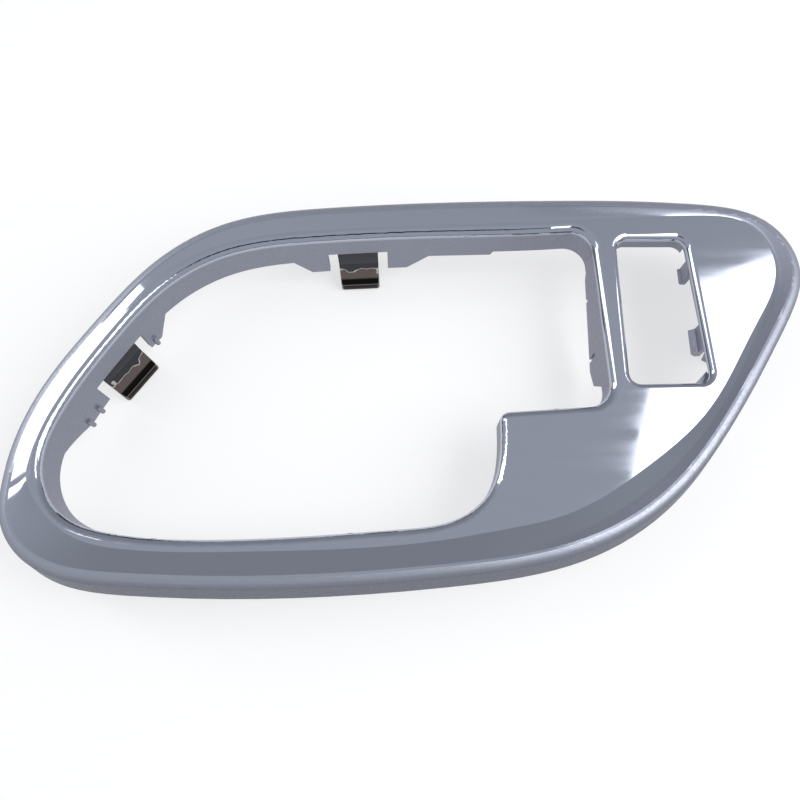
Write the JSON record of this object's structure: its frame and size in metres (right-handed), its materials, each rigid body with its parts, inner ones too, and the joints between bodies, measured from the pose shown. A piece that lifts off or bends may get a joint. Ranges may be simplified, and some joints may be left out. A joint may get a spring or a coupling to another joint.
{
  "type": "interior door handle bezel",
  "caption": "Chrome-plated moulded surround for a car's inside door handle, with a stepped teardrop handle opening, a rectangular switch opening and dark spring clips on its flange.",
  "frame": {"origin": "bottom centre of the bounding box: z = 0 is the plane of the clip ends and the rear legs' feet", "axes": "+X along the long side from the leading end to the switch opening, +Y up the door, +Z out of the door trim towards the viewer"},
  "size_m": [0.2414, 0.1252, 0.03],
  "materials": {
    "chrome_plate": "bright chrome plate over moulded plastic, satin on the flange",
    "spring_steel": "black phosphated spring strip, slightly oily"
  },
  "bodies": {
    "root": {"bezel": "chrome_plate", "upper_clip": "spring_steel", "leading_clip": "spring_steel"}
  },
  "joints": []
}
